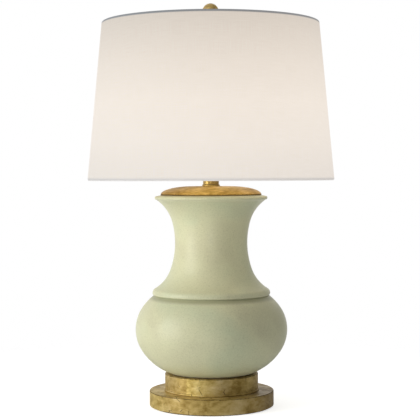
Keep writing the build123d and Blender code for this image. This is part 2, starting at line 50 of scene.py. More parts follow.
# node helpers: a socket is linked, anything else is set on the input
def feed(tree, target, value):
    if isinstance(value, bpy.types.NodeSocket):
        tree.links.new(value, target)
    elif target.type == "RGBA":
        target.default_value = (*value, 1.0)
    else:
        target.default_value = value


def put(tree, kind, inputs=None, **settings):
    made = tree.nodes.new(kind)
    for key, value in settings.items():
        setattr(made, key, value)
    for key, value in (inputs or {}).items():
        feed(tree, made.inputs[key], value)
    return made


def maths(tree, operation, a, b=0.0, clamp=False):
    made = put(tree, "ShaderNodeMath", {0: a, 1: b}, operation=operation, use_clamp=clamp)
    return made.outputs[0]


def plus(tree, a, b):
    return maths(tree, "ADD", a, b)


def minus(tree, a, b):
    return maths(tree, "SUBTRACT", a, b)


def times(tree, a, b):
    return maths(tree, "MULTIPLY", a, b)


def noise(tree, where, scale, detail=4.0, roughness=0.5, distortion=0.0):
    inputs = {"Vector": where, "Scale": scale, "Detail": detail, "Roughness": roughness,
              "Distortion": distortion}
    return put(tree, "ShaderNodeTexNoise", inputs).outputs[0]


def spread(tree, value, low, high, toLow=0.0, toHigh=1.0, curve="SMOOTHSTEP"):
    inputs = {0: value, 1: low, 2: high, 3: toLow, 4: toHigh}
    return put(tree, "ShaderNodeMapRange", inputs, interpolation_type=curve).outputs[0]


def mix(tree, factor, a, b, how="MIX"):
    made = put(tree, "ShaderNodeMix", {0: factor, 6: a, 7: b}, data_type="RGBA", blend_type=how)
    return made.outputs[2]


def ramp(tree, value, stops):
    made = put(tree, "ShaderNodeValToRGB", {"Fac": value})
    elements = made.color_ramp.elements
    elements[0].position, elements[0].color = stops[0][0], (*stops[0][1], 1.0)
    elements[1].position, elements[1].color = stops[-1][0], (*stops[-1][1], 1.0)
    for place, colour in stops[1:-1]:
        elements.new(place).color = (*colour, 1.0)
    return made.outputs[0]


def stretched(tree, where, scale=(1.0, 1.0, 1.0), shift=(0.0, 0.0, 0.0)):
    inputs = {"Vector": where, "Scale": scale, "Location": shift}
    return put(tree, "ShaderNodeMapping", inputs).outputs[0]


# full at the level, nothing from half the width away
def band(tree, height, level, halfWidth):
    away = maths(tree, "ABSOLUTE", minus(tree, height, level))
    return spread(tree, away, 0.0, halfWidth, 1.0, 0.0)


def bumped(tree, height, strength, distance, under=None):
    inputs = {"Height": height, "Strength": strength, "Distance": distance}
    if under is not None:
        inputs["Normal"] = under
    return put(tree, "ShaderNodeBump", inputs).outputs[0]


def split(tree, where):
    return put(tree, "ShaderNodeSeparateXYZ", {0: where}).outputs


def heightOf(tree, where):
    return split(tree, where)[2]


def reachOf(tree, where):
    x, y, _ = split(tree, where)
    flat = put(tree, "ShaderNodeCombineXYZ", {0: x, 1: y}).outputs[0]
    return put(tree, "ShaderNodeVectorMath", {0: flat}, operation="LENGTH").outputs["Value"]


def startMaterial(name):
    made = bpy.data.materials.new(name)
    made.use_nodes = True
    tree = made.node_tree
    tree.nodes.clear()
    shader = put(tree, "ShaderNodeBsdfPrincipled")
    out = put(tree, "ShaderNodeOutputMaterial")
    tree.links.new(shader.outputs[0], out.inputs[0])
    where = put(tree, "ShaderNodeTexCoord").outputs["Object"]
    return made, tree, shader, where


shaderInputs = {
    "color": "Base Color",
    "rough": "Roughness",
    "metal": "Metallic",
    "normal": "Normal",
    "coat": "Coat Weight",
    "coatRough": "Coat Roughness",
    "specular": "Specular IOR Level",
    "sheen": "Sheen Weight",
    "glow": "Emission Color",
    "glowStrength": "Emission Strength",
}


def setShader(tree, shader, **values):
    for key, value in values.items():
        feed(tree, shader.inputs[shaderInputs[key]], value)


def dress(material, *names):
    for name in names:
        mesh = cad[name].data
        mesh.materials.clear()
        mesh.materials.append(material)


# outline helpers for what is turned: points are (reach from the axis, height) in millimetres
def arc(centre, radius, start, stop, count):
    turns = [math.radians(start + (stop - start) * i / count) for i in range(count + 1)]
    return [(centre[0] + radius * math.cos(t), centre[1] + radius * math.sin(t)) for t in turns]


# leaves a point in the given heading and ends at another point
def leavingArc(start, heading, stop, count):
    along, up = stop[0] - start[0], stop[1] - start[1]
    cross = heading[0] * up - heading[1] * along
    radius = (along * along + up * up) / (2 * cross)
    centre = (start[0] - heading[1] * radius, start[1] + heading[0] * radius)
    first = math.degrees(math.atan2(start[1] - centre[1], start[0] - centre[0]))
    last = math.degrees(math.atan2(stop[1] - centre[1], stop[0] - centre[0]))
    while radius > 0 and last < first:
        last += 360
    while radius < 0 and last > first:
        last -= 360
    return arc(centre, abs(radius), first, last, count)


# an arc between two turns, carried on smoothly to a point at each end
def bow(centre, radius, turns, start, stop, count):
    middle = arc(centre, radius, *turns, count)
    first, last = (math.radians(turn) for turn in turns)
    before = leavingArc(middle[0], (math.sin(first), -math.cos(first)), start, count // 2)
    after = leavingArc(middle[-1], (-math.sin(last), math.cos(last)), stop, count // 2)
    return before[:0:-1] + middle + after[1:]


# a bead between two points, its crown lowered by the droop
def nose(start, crown, stop, count, droop=0.0):
    depth, half = crown[0] - start[0], (stop[1] - start[1]) / 2
    radius = (depth * depth + half * half) / (2 * depth)
    reach = math.degrees(math.asin(half / radius))
    points = arc((crown[0] - radius, crown[1]), radius, -reach, reach, count)
    return [(r, z - droop * half * (1 - ((z - crown[1]) / half) ** 2)) for r, z in points]


def startTree(name, inputs):
    tree = bpy.data.node_groups.new(name, "GeometryNodeTree")
    for label, kind in inputs.items():
        tree.interface.new_socket(label, in_out="INPUT", socket_type="NodeSocket" + kind)
    tree.interface.new_socket("Geometry", in_out="OUTPUT", socket_type="NodeSocketGeometry")
    return tree, put(tree, "NodeGroupInput").outputs


def finishTree(tree, geometry, finish):
    smooth = put(tree, "GeometryNodeSetShadeSmooth", {"Geometry": geometry}).outputs[0]
    real = put(tree, "GeometryNodeRealizeInstances", {"Geometry": smooth}).outputs[0]
    done = put(tree, "GeometryNodeSetMaterial", {"Geometry": real, "Material": finish}).outputs[0]
    tree.links.new(done, put(tree, "NodeGroupOutput").inputs[0])
    return tree


axisFade = 4.0 * mm  # nothing is uneven on the axis
threadEase = 1.2 * mm  # a thread runs in and out over this height
weldWithin = 2e-6


# a grid wrapped round the axis, one row for each point of the outline
def buildTurnedTree():
    tree, given = startTree("turnedForm", {
        "Outline": "Object", "Segments": "Int", "Unevenness": "Float", "Drift": "Float",
        "Seed": "Float", "Thread Depth": "Float", "Thread Pitch": "Float",
        "Thread Low": "Float", "Thread High": "Float", "Finish": "Material"})
    outline = put(tree, "GeometryNodeObjectInfo", {"Object": given["Outline"]}).outputs["Geometry"]
    rows = put(tree, "GeometryNodeAttributeDomainSize", {0: outline}).outputs["Point Count"]
    columns = plus(tree, given["Segments"], 1.0)
    sizes = {"Vertices X": columns, "Vertices Y": rows}
    grid = put(tree, "GeometryNodeMeshGrid", sizes).outputs["Mesh"]
    index = put(tree, "GeometryNodeInputIndex").outputs[0]
    column = maths(tree, "FLOOR", maths(tree, "DIVIDE", plus(tree, index, 0.5), rows))
    row = minus(tree, index, times(tree, column, rows))
    position = put(tree, "GeometryNodeInputPosition").outputs[0]
    sample = {"Geometry": outline, "Value": position, "Index": row}
    taken = put(tree, "GeometryNodeSampleIndex", sample, data_type="FLOAT_VECTOR").outputs[0]
    reach, _, level = split(tree, taken)
    share = maths(tree, "DIVIDE", column, given["Segments"])
    angle = times(tree, share, fullTurn)
    cosine, sine = maths(tree, "COSINE", angle), maths(tree, "SINE", angle)

    def around(distance):
        across = {0: times(tree, distance, cosine), 1: times(tree, distance, sine), 2: level}
        return put(tree, "ShaderNodeCombineXYZ", across).outputs[0]

    field = {"Vector": around(reach), "W": given["Seed"], "Scale": given["Drift"], "Detail": 2.0}
    drift = put(tree, "ShaderNodeTexNoise", field, noise_dimensions="4D").outputs[0]
    wobble = times(tree, minus(tree, drift, 0.5), given["Unevenness"])
    wobble = times(tree, wobble, spread(tree, reach, 0.0, axisFade))
    wind = minus(tree, maths(tree, "DIVIDE", level, given["Thread Pitch"]), share)
    groove = minus(tree, maths(tree, "COSINE", times(tree, wind, fullTurn)), 1.0)
    groove = times(tree, groove, times(tree, given["Thread Depth"], 0.5))
    for edge, side in (("Thread Low", 1.0), ("Thread High", -1.0)):
        past = times(tree, minus(tree, level, given[edge]), side)
        groove = times(tree, groove, spread(tree, past, 0.0, threadEase))
    moved = around(plus(tree, plus(tree, reach, wobble), groove))
    shaped = put(tree, "GeometryNodeSetPosition", {"Geometry": grid, "Position": moved}).outputs[0]
    weld = {"Geometry": shaped, "Distance": weldWithin}
    closed = put(tree, "GeometryNodeMergeByDistance", weld).outputs[0]
    return finishTree(tree, closed, given["Finish"])


# the evaluated piece becomes a plain mesh: doubles merged, faces outwards, edges past the angle sharp
def settle(piece, sharpFrom=40):
    evaluated = piece.evaluated_get(bpy.context.evaluated_depsgraph_get())
    mesh = bpy.data.meshes.new_from_object(evaluated)
    for modifier in list(piece.modifiers):
        piece.modifiers.remove(modifier)
    old = piece.data
    piece.data = mesh
    bpy.data.meshes.remove(old)
    shell = bmesh.new()
    shell.from_mesh(mesh)
    bmesh.ops.remove_doubles(shell, verts=shell.verts, dist=1e-6)
    bmesh.ops.recalc_face_normals(shell, faces=shell.faces)
    shell.to_mesh(mesh)
    shell.free()
    mesh.set_sharp_from_angle(angle=math.radians(sharpFrom))


# a tree shapes the piece, with its inputs set by their identifiers
def shapeBy(piece, tree, values):
    modifier = piece.modifiers.new(tree.name, "NODES")
    modifier.node_group = tree
    ids = {item.name: item.identifier for item in tree.interface.items_tree
           if item.item_type == "SOCKET" and item.in_out == "INPUT"}
    for name, value in values.items():
        modifier[ids[name]] = value
    settle(piece)


def newPiece(name, vertices=(), edges=(), faces=()):
    mesh = bpy.data.meshes.new(name)
    mesh.from_pydata(list(vertices), list(edges), list(faces))
    piece = bpy.data.objects.new(name, mesh)
    scene.collection.objects.link(piece)
    return piece


turnedTree = buildTurnedTree()
turnedDefaults = {
    "Segments": 128,
    "Unevenness": 0.0,
    "Drift": 20.0,
    "Seed": 3.0,
    "Thread Depth": 0.0,
    "Thread Pitch": 1.0,
    "Thread Low": 0.0,
    "Thread High": 0.0,
}


def turned(name, outline, finish, **inputs):
    points = [(reach * mm, 0.0, level * mm) for reach, level in outline]
    guide = newPiece(name + "Outline", points, [(i, i + 1) for i in range(len(points) - 1)])
    piece = newPiece(name)
    shapeBy(piece, turnedTree, {"Outline": guide, "Finish": finish, **turnedDefaults, **inputs})
    bpy.data.meshes.remove(guide.data)  # the outline goes with its mesh
    return piece


# gilded wood: worn leaf over dark bole, nicked along the rims that are listed for each turning
giltLook = {
    "deep": (0.240, 0.152, 0.035),
    "mid": (0.43, 0.304, 0.101),
    "pale": (0.585, 0.450, 0.212),
    "bole": (0.052, 0.033, 0.014),
    "toneStops": (0.37, 0.5, 0.63),
    "warmth": 0.16,
    "patchScale": 24.0,
    "patchShare": 0.62,
    "rubScale": 85.0,
    "rubShare": 0.38,
    "turnDrift": 0.12,
    "checkScale": 52.0,
    "checkWidth": (0.012, 0.036),
    "checkPatches": 46.0,
    "checkGate": (0.575, 0.635),
    "nickScale": 420.0,
    "nickGate": (0.93, 1.0),
    "clusterScale": 40.0,
    "clusterShare": 0.4,
    "rimScale": 190.0,
    "rimEase": 0.24,
    "wornShare": 0.78,
    "rough": (0.5, 0.34),
    "wornRough": 0.3,
    "grainScale": 520.0,
    "grainShare": 0.3,
    "specular": 0.12,
}
# how light the gilding is painted at each turn round the axis, in degrees from the front: uneven leaf
# with painted light and shade, lighter towards the softbox on the left and darker on the right; the
# riser's bright band and the cap's lighter front are painted highlights
leafAndPaintedLight = {
    "plinth": ((-180, 1.0), (-95, 1.25), (-70, 1.58), (-52, 1.38), (-43, 1.1), (-22, 1.18), (2, 1.25),
               (20, 1.05), (44, 0.86), (62, 0.58), (90, 0.68), (130, 0.95), (180, 1.0)),
    "riser": ((-180, 1.0), (-90, 1.15), (-60, 1.08), (-33, 1.18), (-31, 1.72), (-8, 1.46), (6, 1.14),
              (16, 0.98), (38, 1.28), (62, 1.1), (110, 0.95), (180, 1.0)),
    "cap": ((-180, 1.0), (-90, 0.8), (-58, 0.56), (-28, 1.0), (0, 1.25), (28, 1.06), (58, 0.8),
            (90, 0.82), (180, 1.0)),
}


def giltMaterial(name, rims, leafAndLightStops, shift, streak=2.0, tint=white, metal=0.4, checks=1.0):
    look = giltLook
    made, tree, shader, here = startMaterial(name)
    x, y, height = split(tree, here)
    reach = reachOf(tree, here)
    where = stretched(tree, here, shift=shift)
    patchWhere = stretched(tree, where, (1.0, 1.0, streak / 2))
    patch = noise(tree, patchWhere, look["patchScale"], 6.0, 0.6, 0.5)
    rub = noise(tree, stretched(tree, where, (1.0, 1.0, streak)), look["rubScale"], 6.0, 0.62, 0.3)
    both = plus(tree, times(tree, patch, look["patchShare"]), times(tree, rub, look["rubShare"]))
    color = ramp(tree, both, list(zip(look["toneStops"], (look["deep"], look["mid"], look["pale"]))))
    color = mix(tree, 1.0, color, tint, "MULTIPLY")
    turn = maths(tree, "ARCTAN2", x, times(tree, y, -1.0))
    turn = plus(tree, turn, times(tree, minus(tree, rub, 0.5), look["turnDrift"]))
    share = spread(tree, turn, -math.pi, math.pi, curve="LINEAR")
    stops = []
    for degrees, value in leafAndLightStops:  # the ramp holds half of each value; lighter stops, painted light among them, are paler, darker ones deeper
        warm = (value - 1) * look["warmth"]
        stops.append((degrees / 360 + 0.5, [value / 2 * (1 + warm * step) for step in range(3)]))
    # uneven leaf with painted light and shade round the axis
    tone = ramp(tree, share, stops)
    color = mix(tree, 1.0, color, mix(tree, 1.0, tone, tone, "ADD"), "MULTIPLY")
    # checks in the leaf: a few edges of a cell pattern show where a second noise lets them
    cells = put(tree, "ShaderNodeTexVoronoi", {"Vector": where, "Scale": look["checkScale"]},
                feature="DISTANCE_TO_EDGE").outputs[0]
    line = spread(tree, cells, *look["checkWidth"], 1.0, 0.0)
    some = spread(tree, noise(tree, where, look["checkPatches"], 2.0), *look["checkGate"])
    check = times(tree, times(tree, line, some), checks)
    # small nicks gather in clusters and along the rims
    nick = noise(tree, where, look["nickScale"], 3.0, 0.6)
    cluster = times(tree, noise(tree, where, look["clusterScale"], 3.0), look["clusterShare"])
    nicks = spread(tree, plus(tree, nick, cluster), *look["nickGate"])
    wear = maths(tree, "MAXIMUM", check, nicks)
    ragged = noise(tree, where, look["rimScale"], 4.0, 0.65)
    for radius, level, halfWidth, bite in rims:
        across = maths(tree, "POWER", minus(tree, reach, radius), 2.0)
        up = maths(tree, "POWER", minus(tree, height, level), 2.0)
        away = maths(tree, "SQRT", plus(tree, across, up))
        near = plus(tree, spread(tree, away, 0.0, halfWidth, 1.0, 0.0), ragged)
        wear = maths(tree, "MAXIMUM", wear, spread(tree, near, bite, bite + look["rimEase"]))
    color = mix(tree, times(tree, wear, look["wornShare"]), color, look["bole"])
    rough = spread(tree, both, 0.35, 0.65, *look["rough"])
    rough = maths(tree, "ADD", rough, times(tree, wear, look["wornRough"]), clamp=True)
    whole = minus(tree, 1.0, wear)
    grain = times(tree, noise(tree, where, look["grainScale"], 3.0), look["grainShare"])
    normal = bumped(tree, plus(tree, rub, grain), 0.22, 0.001)
    normal = bumped(tree, whole, 0.4, 0.0004, normal)
    setShader(tree, shader, color=color, rough=rough, metal=times(tree, whole, metal),
              normal=normal, specular=look["specular"])
    return made


def rim(name, top=True):
    low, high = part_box(name)
    return high[0], high[2] if top else low[2]


beadOut, beadUp = 1.5 * mm, 3.4 * mm  # how far the bead at the riser's foot stands out and up
riserLow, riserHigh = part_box("riser")
riserReach = riserHigh[0] - beadOut
# each rim is reach, height, half width and how much wear it takes to show
plinthRims = [(*rim("plinth"), 0.0024, 1.02), (*rim("plinth", False), 0.003, 1.25)]
riserRims = [(riserReach, riserHigh[2], 0.0028, 1.15), (riserReach, riserLow[2] + beadUp, 0.0014, 1.4)]
capRims = [(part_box("vase_cap")[1][0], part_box("vase")[1][2], 0.0052, 0.95)]
dress(giltMaterial("giltPlinth", plinthRims, leafAndPaintedLight["plinth"], (0.31, 0.12, 0.0)), "plinth")
dress(giltMaterial("giltRiser", riserRims, leafAndPaintedLight["riser"], (0.05, 0.4, 0.0)), "riser")
# the cap's gilt is tinted more orange and lighter; the lightening is painted light, making up for the
# light the shade keeps off the cap
dress(giltMaterial("giltCap", capRims, leafAndPaintedLight["cap"], (0.22, 0.0, 0.0), streak=7.0,
                   tint=(1.45, 1.29, 0.98), metal=0.2, checks=0.2), "vase_cap")
print("gilded wood done")

# vase: a thrown form with a nosed ridge and lip, its wall following the same curves inside
vaseLook = {
    "foot": (71.5, 58.4),
    "floor": 67.4,
    "footHole": 8.0,
    "bellyCentre": (66.2, 134.4),
    "bellyArc": 66.7,
    "bellyTurn": (-30.5, 35.7),
    "ridge": ((100.5, 193.7), (103.3, 198.9), (100.5, 204.1)),
    "ridgeDroop": 0.22,
    "ridgeInside": (88.5, 193.7),
    "waistCentre": (204.2, 285.6),
    "waistArc": 140.7,
    "waistTurn": (165.2, 199.0),
    "lip": ((96.1, 361.1), (99.0, 364.2), (96.1, 367.3)),
    "lipTop": (88.6, 368.7),
    "mouth": 84.0,
    "mouthEnd": 358.1,
    "wall": 6.0,
    "bellyRows": (36, 16),
    "neckRows": (28, 14),
    "ridgeRows": 12,
    "lipRows": 10,
    "segments": 200,
    "unevenness": 0.0004,
    "drift": 14.0,
}
glazeLook = {
    "cream": (0.605, 0.608, 0.392),
    "green": (0.557, 0.592, 0.390),
    "olive": (0.552, 0.542, 0.352),
    "thin": (0.73, 0.705, 0.50),
    "pool": (0.30, 0.30, 0.175),
    "drift": 10.0,
    "toneStops": (0.34, 0.5, 0.66),
    "mottle": 42.0,
    "mottleMost": 0.22,
    "speck": 430.0,
    "speckMost": 0.26,
    # pale bands: thin glaze on the ridge, and at the lip and foot thin glaze widened into painted light;
    # dark band: glaze pooled under the ridge, widened into painted shade
    "thinAndLitLevels": ((0.1962, 0.0014, 0.5), (0.3606, 0.0034, 0.4), (0.0600, 0.0050, 0.35)),
    "poolAndShadeLevels": ((0.1908, 0.0062, 0.8),),
    "rough": (0.46, 0.54),
    "specular": 0.3,
    "coat": 0.25,
    "coatRough": 0.3,
    "pitScale": 240.0,
    "waveScale": 16.0,
}


def glazeMaterial():
    look = glazeLook
    made, tree, shader, where = startMaterial("celadonGlaze")
    height = heightOf(tree, where)
    drift = noise(tree, where, look["drift"], 2.0, 0.45, 0.4)
    tones = (look["olive"], look["cream"], look["green"])
    color = ramp(tree, drift, list(zip(look["toneStops"], tones)))
    mottle = noise(tree, where, look["mottle"], 4.0, 0.55)
    color = mix(tree, spread(tree, mottle, 0.4, 0.7, 0.0, look["mottleMost"]), color, look["olive"])
    speck = noise(tree, where, look["speck"], 2.0, 0.6)
    color = mix(tree, spread(tree, speck, 0.5, 0.75, 0.0, look["speckMost"]), color, look["pool"])
    color = mix(tree, spread(tree, speck, 0.25, 0.5, look["speckMost"], 0.0), color, look["thin"])
    # glaze pools dark under the ridge, widened there into painted shade under its overhang, and runs
    # thin and pale on edges; the pale bands at the lip and foot are widened into painted light over
    # their shading
    for levels, tone in ((look["poolAndShadeLevels"], look["pool"]), (look["thinAndLitLevels"], look["thin"])):
        for level, halfWidth, most in levels:
            edge = times(tree, band(tree, height, level, halfWidth), most)
            color = mix(tree, edge, color, tone)
    rough = spread(tree, mottle, 0.3, 0.7, *look["rough"])
    wave = noise(tree, stretched(tree, where, (1.0, 1.0, 3.0)), look["waveScale"], 2.0)
    normal = bumped(tree, noise(tree, where, look["pitScale"], 2.0), 0.05, 0.0008)
    normal = bumped(tree, wave, 0.08, 0.004, normal)
    setShader(tree, shader, color=color, rough=rough, normal=normal, specular=look["specular"],
              coat=look["coat"], coatRough=look["coatRough"])
    return made


def vaseOutline():
    look = vaseLook
    under, crown, over = look["ridge"]
    lipUnder, lipCrown, lipOver = look["lip"]

    # the belly runs up from the foot, the neck down from the lip
    def belly(inset, foot, top, count):
        return bow(look["bellyCentre"], look["bellyArc"] - inset, look["bellyTurn"], foot, top, count)

    def neck(inset, top, foot, count):
        return bow(look["waistCentre"], look["waistArc"] + inset, look["waistTurn"], top, foot, count)

    mouthEnd = (look["mouth"], look["mouthEnd"])
    bellyRows, neckRows = look["bellyRows"], look["neckRows"]
    points = belly(0, look["foot"], under, bellyRows[0])
    points += nose(under, crown, over, look["ridgeRows"], look["ridgeDroop"])[1:]
    points += neck(0, lipUnder, over, neckRows[0])[-2::-1]
    points += nose(lipUnder, lipCrown, lipOver, look["lipRows"])[1:]
    points += [look["lipTop"], (look["mouth"], look["lipTop"][1]), mouthEnd]
    points += neck(look["wall"], mouthEnd, look["ridgeInside"], neckRows[1])[1:]
    inside = belly(look["wall"], (look["foot"][0], look["floor"]), look["ridgeInside"], bellyRows[1])
    points += inside[-2::-1]
    points += [(look["footHole"], look["floor"]), (look["footHole"], look["foot"][1]), look["foot"]]
    return points


vase = turned("vaseBody", vaseOutline(), glazeMaterial(), Segments=vaseLook["segments"],
              Unevenness=vaseLook["unevenness"], Drift=vaseLook["drift"])
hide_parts("vase")
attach(vase, "stand")
print("vase glazed:", len(vase.data.polygons), "faces")

# brass: drawn and lacquered, with a little tarnish
brassLook = {
    "bright": (0.565, 0.40, 0.128),
    "tarnish": (0.29, 0.19, 0.055),
    "jointDark": (0.05, 0.033, 0.015),
    "jointDarkMost": 0.8,
    "toneStops": (0.32, 0.56, 0.8),
    "cloudScale": 70.0,
    "streakScale": 900.0,
    "rough": 0.3,
    "dullRough": 0.16,
    "streakRough": 0.1,
}


def brassMaterial(name, drawn, tone=1.0, metal=0.9, joints=(), polish=0.0):
    look = brassLook
    made, tree, shader, where = startMaterial(name)
    cloud = noise(tree, where, look["cloudScale"], 5.0, 0.6)
    streak = noise(tree, stretched(tree, where, drawn), look["streakScale"], 2.0)
    bright = tuple(c * tone for c in look["bright"])
    dull = tuple(c * tone for c in look["tarnish"])
    color = ramp(tree, cloud, list(zip(look["toneStops"], (dull, bright, bright))))
    height = heightOf(tree, where)
    for level, halfWidth in joints:  # darker bands where two pieces meet
        jointDark = times(tree, band(tree, height, level, halfWidth), look["jointDarkMost"])
        color = mix(tree, jointDark, color, look["jointDark"])
    least = look["rough"] - polish
    rough = plus(tree, spread(tree, cloud, 0.3, 0.7, least + look["dullRough"], least),
                 times(tree, streak, look["streakRough"]))
    normal = bumped(tree, streak, 0.12, 0.0003)
    setShader(tree, shader, color=color, rough=rough, metal=metal, normal=normal)
    return made


neckLow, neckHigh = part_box("neck_flange")[0][2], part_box("neck_flange")[1][2]
dress(brassMaterial("neckBrass", (0.06, 0.06, 1.0), tone=0.95, polish=0.12,
                    joints=((neckLow, 0.0012), (neckHigh, 0.0010))),
      "neck_flange", "neck_tube", "neck_washer")
dress(brassMaterial("finialBrass", (1.0, 1.0, 0.2), tone=1.08, metal=0.3), "finial_neck", "finial_ball")
dress(brassMaterial("fittingBrass", (1.0, 1.0, 0.06), tone=0.95), "harp_saddle", "harp", "harp_stud",
      "harp_sleeve_left", "harp_sleeve_right", "socket_cap", "socket_shell", "terminal_screws",
      "screw_shell", "centre_contact", "switch_shaft", "bulb_contact")
print("brass done")

# zinc-plated steel of the spider, the rings and the clamped hardware
steelLook = {
    "pale": (0.62, 0.61, 0.58),
    "dull": (0.36, 0.355, 0.34),
    "toneScale": 90.0,
    "spangleScale": 240.0,
    "spangleShare": 0.12,
    "rough": (0.5, 0.32),
    "metal": 0.85,
}


def steelMaterial():
    look = steelLook
    made, tree, shader, where = startMaterial("zincSteel")
    cells = {"Vector": where, "Scale": look["spangleScale"]}
    spangle = put(tree, "ShaderNodeTexVoronoi", cells).outputs["Color"]
    tone = noise(tree, where, look["toneScale"], 4.0)
    color = mix(tree, spread(tree, tone, 0.35, 0.7), look["dull"], look["pale"])
    color = mix(tree, look["spangleShare"], color, spangle, "OVERLAY")
    setShader(tree, shader, color=color, rough=spread(tree, tone, 0.3, 0.7, *look["rough"]),
              metal=look["metal"], normal=bumped(tree, tone, 0.1, 0.0004))
    return made


dress(steelMaterial(), "lamp_pipe", "bottom_washer", "lock_washer", "bottom_nut", "spider_hub",
      "shade_bottom_ring", "shade_top_ring", "spider_spoke_1", "spider_spoke_2", "spider_spoke_3")

# the small dark and brown pieces, and what else has one tone that drifts between two
plainLooks = {
    "mouldedBlack": {"dark": (0.012, 0.010, 0.009), "light": (0.03, 0.026, 0.023), "scale": 180.0,
                     "rough": 0.3, "bump": 0.1},
    "brownRubber": {"dark": (0.05, 0.036, 0.02), "light": (0.27, 0.19, 0.10), "scale": 45.0,
                    "rough": 0.62, "bump": 0.2},
    "darkRubber": {"dark": (0.035, 0.027, 0.017), "light": (0.08, 0.062, 0.04), "scale": 260.0,
                   "rough": 0.62, "bump": 0.2},
    "vulcanFibre": {"dark": (0.20, 0.14, 0.09), "light": (0.34, 0.25, 0.17), "scale": 320.0,
                    "rough": 0.75, "bump": 0.3},
    "blackFelt": {"dark": (0.020, 0.019, 0.017), "light": (0.066, 0.062, 0.055), "scale": 800.0,
                  "rough": 0.9, "bump": 0.8, "sheen": 0.4},
    "capNickel": {"dark": (0.5, 0.49, 0.47), "light": (0.72, 0.71, 0.69), "scale": 140.0,
                  "rough": 0.3, "bump": 0.1, "metal": 0.9},
}
roughDrift = (0.08, -0.05)  # how far the roughness goes from a plain look's own


def plainMaterial(name):
    look = plainLooks[name]
    made, tree, shader, where = startMaterial(name)
    tone = noise(tree, where, look["scale"], 5.0, 0.6)
    color = mix(tree, spread(tree, tone, 0.32, 0.7), look["dark"], look["light"])
    rough = spread(tree, tone, 0.3, 0.7, *(look["rough"] + drift for drift in roughDrift))
    setShader(tree, shader, color=color, rough=rough, metal=look.get("metal", 0.0),
              sheen=look.get("sheen", 0.0), normal=bumped(tree, tone, look["bump"], 0.0006))
    return made


mouldedBlack = plainMaterial("mouldedBlack")
dress(plainMaterial("brownRubber"), "vase_gasket")
dress(plainMaterial("darkRubber"), "cord_bushing")
dress(mouldedBlack, "switch_body", "switch_key", "bulb_insulator")
dress(plainMaterial("vulcanFibre"), "socket_insulator")

# felt: a soft-edged disc glued under the plinth
feltLook = {
    "edge": 0.6,
    "rings": 12,
    "edgeRows": 4,
    "segments": 120,
    "unevenness": 0.0006,
    "drift": 90.0,
}
feltReach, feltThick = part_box("felt_pad")[1][0] / mm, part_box("felt_pad")[1][2] / mm


def feltOutline():
    edge, rings, rows = feltLook["edge"], feltLook["rings"], feltLook["edgeRows"]
    flat = feltReach - edge
    points = [(flat * i / rings, 0.0) for i in range(rings + 1)]
    points += arc((flat, edge), edge, -90, 0, rows)[1:]
    points += arc((flat, feltThick - edge), edge, 0, 90, rows)
    return points + [(flat * i / rings, feltThick) for i in range(rings - 1, -1, -1)]


felt = turned("feltDisc", feltOutline(), plainMaterial("blackFelt"), Segments=feltLook["segments"],
              Unevenness=feltLook["unevenness"], Drift=feltLook["drift"])
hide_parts("felt_pad")
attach(felt, "stand")
print("felt done")

# bulb cap: thin sheet rolled to a round thread
bulbCapLook = {
    "reach": 13.05,
    "sheet": 0.5,
    "foot": 11.6,
    "toe": 1.4,
    "toeInside": 1.6,
    "pitch": 3.64,
    "depth": 0.75,
    "start": 1.8,
    "clear": 3.6,
    "rows": 60,
    "segments": 72,
}
capLow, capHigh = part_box("bulb_cap")[0][2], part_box("bulb_cap")[1][2]


def bulbCapOutline():
    look = bulbCapLook
    low, high, rows = capLow / mm, capHigh / mm, look["rows"]
    foot, reach, inner = look["foot"], look["reach"], look["reach"] - look["sheet"]
    toe, toeInside = high - low - look["toe"], high - low - look["toeInside"]
    outside = [(0.0, low), (foot / 2, low)]
    outside += leavingArc((foot, low), (1.0, 0.0), (reach, low + look["toe"]), 6)
    outside += [(reach, low + look["toe"] + toe * i / rows) for i in range(1, rows + 1)]
    inside = [(inner, high - toeInside * i / rows) for i in range(rows + 1)]
    return outside + inside + [(foot, low + look["sheet"]), (0.0, low + look["sheet"])]


bulbCap = turned("bulbCapThread", bulbCapOutline(), plainMaterial("capNickel"),
                 Segments=bulbCapLook["segments"],
                 **{"Thread Depth": bulbCapLook["depth"] * mm, "Thread Pitch": bulbCapLook["pitch"] * mm,
                    "Thread Low": capLow + bulbCapLook["start"] * mm,
                    "Thread High": capHigh - bulbCapLook["clear"] * mm})
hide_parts("bulb_cap")
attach(bulbCap, "bulb")
print("bulb cap threaded")

# switch key: moulded ribs across both flats, for the thumb
ribLook = {
    "count": 4,
    "spacing": 2.3,
    "length": 11.0,
    "radius": 0.5,
    "first": 3.2,
    "flatHalf": 2.5,
    "steps": 13,
    "sides": 10,
}


